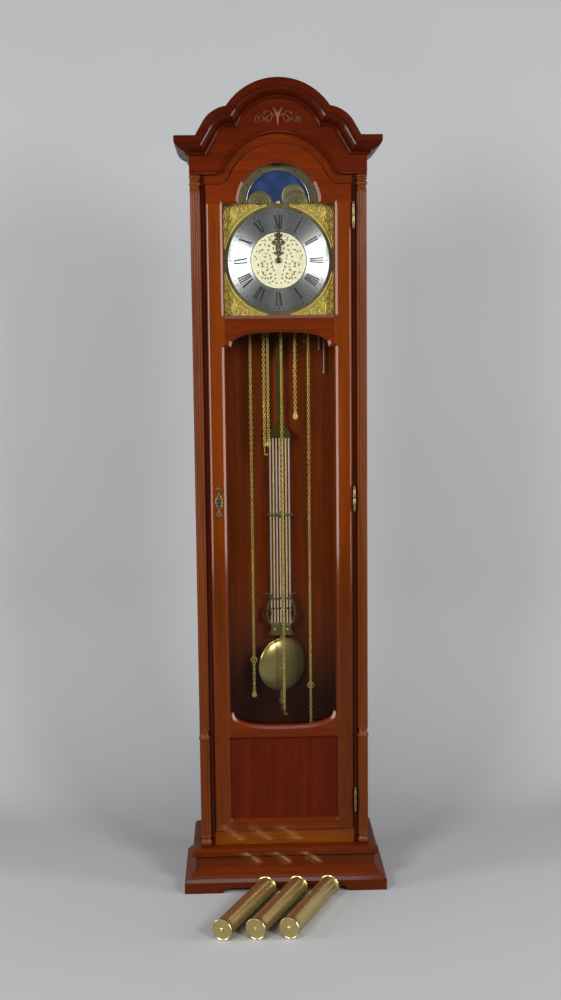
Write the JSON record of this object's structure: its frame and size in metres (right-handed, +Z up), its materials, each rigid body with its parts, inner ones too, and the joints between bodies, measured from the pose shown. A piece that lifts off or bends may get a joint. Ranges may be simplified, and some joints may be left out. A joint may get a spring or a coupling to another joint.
{
  "type": "longcase clock",
  "caption": "Tall wooden clock with an arched crown, glazed door, moon dial, lyre pendulum, hanging chains and brass weights laid on the floor.",
  "frame": {"origin": "on the floor, in the middle of the area that the case and the weights in front of it cover", "axes": "+Z up, the front of the clock faces -Y, +X to the right of a viewer in front of it"},
  "size_m": [0.514, 0.5028, 2.01],
  "materials": {
    "cherry": "polished red-brown varnish",
    "inner_wood": "satin dark stain",
    "brass": "polished",
    "antique_brass": "aged",
    "gilt": "gilt, textured",
    "silvered": "brushed in circles",
    "black_steel": "black",
    "steel": "bright",
    "moon_blue": "painted night sky",
    "glass": "clear"
  },
  "bodies": {
    "case": {"plinth_skirt": "cherry", "base_board": "cherry", "side_panel_left": "cherry", "side_panel_right": "cherry", "front_stile_left": "cherry", "front_stile_right": "cherry", "front_bottom_rail": "cherry", "front_top_rail": "cherry", "frieze_board": "cherry", "crown_moulding": "cherry", "column_left": "cherry", "column_right": "cherry", "back_panel": "inner_wood", "top_board": "inner_wood", "seat_board": "inner_wood", "hinge_top_case_leaf": "brass", "hinge_middle_case_leaf": "brass", "hinge_bottom_case_leaf": "brass", "dial_plate": "brass", "chapter_ring": "silvered", "dial_centre": "gilt", "spandrel_upper_left": "gilt", "spandrel_upper_right": "gilt", "spandrel_lower_left": "gilt", "spandrel_lower_right": "gilt", "movement_front_plate": "brass", "movement_back_plate": "brass", "chime_rods": "steel", "strike_chain": "brass", "going_chain": "brass", "chime_chain": "brass"},
    "door": {"door_stile_left": "cherry", "door_stile_right": "cherry", "door_top_rail": "cherry", "door_middle_rail": "cherry", "door_lower_rail": "cherry", "door_bottom_rail": "cherry", "door_panel": "cherry", "door_glass": "glass", "escutcheon": "antique_brass", "hinge_top_door_leaf": "brass", "hinge_middle_door_leaf": "brass", "hinge_bottom_door_leaf": "brass"},
    "minute_hand": {"minute_hand": "black_steel"},
    "hour_hand": {"hour_hand": "black_steel"},
    "moon": {"moon_disc": "moon_blue"},
    "centre_wheel": {"centre_wheel": "brass"},
    "going_wheel": {"going_great_wheel": "brass"},
    "third_wheel": {"third_wheel": "brass"},
    "escape_wheel": {"escape_wheel": "brass"},
    "strike_wheel": {"strike_great_wheel": "brass"},
    "chime_wheel": {"chime_great_wheel": "brass"},
    "anchor": {"anchor_crutch": "brass"},
    "pendulum": {"pendulum_leader": "brass", "pendulum_grid": "brass"},
    "bob": {"pendulum_bob": "brass"},
    "rating_nut": {"rating_nut": "brass"},
    "left_weight": {"weight_left": "brass"},
    "middle_weight": {"weight_middle": "brass"},
    "right_weight": {"weight_right": "brass"}
  },
  "joints": [
    {"name": "door_hinge", "type": "hinge", "parent": "case", "child": "door", "pos_m": [0.1815, 0.06741, 0.147], "axis": [0, 0, 1], "range_deg": [0, 110]},
    {"name": "minute_turn", "type": "hinge", "parent": "case", "child": "minute_hand", "pos_m": [0, 0.09941, 1.587], "axis": [0, 1, 0], "continuous": true},
    {"name": "hour_turn", "type": "hinge", "parent": "case", "child": "hour_hand", "pos_m": [0, 0.10241, 1.587], "axis": [0, 1, 0], "continuous": true},
    {"name": "moon_turn", "type": "hinge", "parent": "case", "child": "moon", "pos_m": [0, 0.10791, 1.727], "axis": [0, 1, 0], "continuous": true},
    {"name": "escape_turn", "type": "hinge", "parent": "case", "child": "escape_wheel", "pos_m": [0, 0.16341, 1.63089], "axis": [0, 1, 0], "continuous": true},
    {"name": "third_turn", "type": "hinge", "parent": "case", "child": "third_wheel", "pos_m": [0.0144, 0.16341, 1.61194], "axis": [0, 1, 0], "continuous": true},
    {"name": "centre_turn", "type": "hinge", "parent": "case", "child": "centre_wheel", "pos_m": [0, 0.16341, 1.587], "axis": [0, 1, 0], "continuous": true},
    {"name": "going_turn", "type": "hinge", "parent": "case", "child": "going_wheel", "pos_m": [-0.0117, 0.16341, 1.5446], "axis": [0, 1, 0], "continuous": true},
    {"name": "strike_turn", "type": "hinge", "parent": "case", "child": "strike_wheel", "pos_m": [-0.0558, 0.16341, 1.5446], "axis": [0, 1, 0], "continuous": true},
    {"name": "chime_turn", "type": "hinge", "parent": "case", "child": "chime_wheel", "pos_m": [0.057, 0.16341, 1.5446], "axis": [0, 1, 0], "continuous": true},
    {"name": "pendulum_swing", "type": "hinge", "parent": "case", "child": "pendulum", "pos_m": [0, 0.21341, 1.65539], "axis": [0, 1, 0], "range_deg": [-3, 3]},
    {"name": "anchor_rock", "type": "hinge", "parent": "case", "child": "anchor", "pos_m": [0, 0.16341, 1.65539], "axis": [0, 1, 0], "range_deg": [-3, 3]},
    {"name": "bob_turn", "type": "hinge", "parent": "pendulum", "child": "bob", "pos_m": [0, 0.21341, 0.54639], "axis": [0, 0, 1], "range_deg": [-50, 0]},
    {"name": "rating_nut_turn", "type": "hinge", "parent": "pendulum", "child": "rating_nut", "pos_m": [0, 0.21341, 0.44439], "axis": [0, 0, 1], "continuous": true},
    {"name": "left_weight_lift", "type": "slide", "parent": "case", "child": "left_weight", "axis": [0, 0, 1], "range_m": [0, 0.25]},
    {"name": "middle_weight_lift", "type": "slide", "parent": "case", "child": "middle_weight", "axis": [0, 0, 1], "range_m": [0, 0.25]},
    {"name": "right_weight_lift", "type": "slide", "parent": "case", "child": "right_weight", "axis": [0, 0, 1], "range_m": [0, 0.25]}
  ],
  "couplings": [
    {"joint": "hour_turn", "follows": "minute_turn", "ratio": 0.083333},
    {"joint": "moon_turn", "follows": "minute_turn", "ratio": 0.00070621},
    {"joint": "third_turn", "follows": "escape_turn", "ratio": -0.13333},
    {"joint": "centre_turn", "follows": "escape_turn", "ratio": 0.016667},
    {"joint": "going_turn", "follows": "escape_turn", "ratio": -0.0013889},
    {"joint": "anchor_rock", "follows": "pendulum_swing", "ratio": 1}
  ]
}
